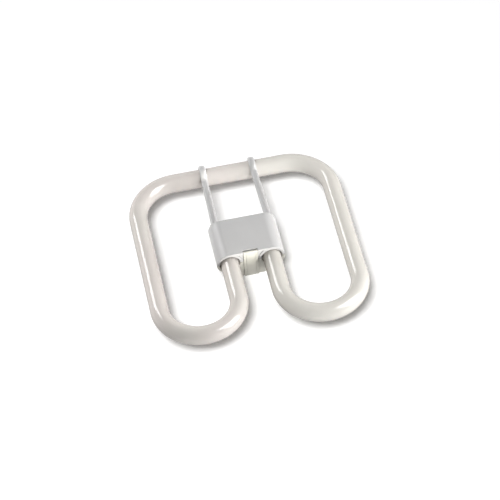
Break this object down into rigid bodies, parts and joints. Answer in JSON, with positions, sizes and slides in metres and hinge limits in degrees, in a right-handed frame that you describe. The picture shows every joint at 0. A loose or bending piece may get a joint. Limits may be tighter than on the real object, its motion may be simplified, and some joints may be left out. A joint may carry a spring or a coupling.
{
  "type": "square compact fluorescent lamp",
  "caption": "Flat square fluorescent lamp: white coated glass tube bent into D-shaped loops, with a white plastic plug-in base and slim arms that hook over the top run",
  "frame": {"origin": "middle of the lamp's outline, on the plane that the base's rear boss rests on", "axes": "+Z out of the flat front face, +Y towards the top run, +X to the right seen from the front"},
  "size_m": [0.205, 0.2103, 0.033],
  "materials": {
    "coated_glass": "glossy clear glass over an even, slightly warm white coating",
    "cover_plastic": "fine matte white moulded plastic",
    "rear_plastic": "fine matte creamy white moulded plastic",
    "pin_metal": "nickel-plated brass, bright",
    "starter_glass": "small glossy glass envelope, shown closed",
    "capacitor_dip": "dipped brown coating",
    "lead_metal": "thin tinned wire",
    "cement": "dry beige basing cement"
  },
  "bodies": {
    "root": {"glass_tube": "coated_glass", "front_cover": "cover_plastic", "rear_housing": "rear_plastic", "contact_pin_left": "pin_metal", "contact_pin_right": "pin_metal", "starter_bulb": "starter_glass", "starter_capacitor": "capacitor_dip", "pin_lead_left": "lead_metal", "pin_lead_right": "lead_metal", "starter_lead_left": "lead_metal", "starter_lead_right": "lead_metal", "capacitor_lead_left": "lead_metal", "capacitor_lead_right": "lead_metal", "socket_cement_left": "cement", "socket_cement_right": "cement"}
  },
  "joints": []
}
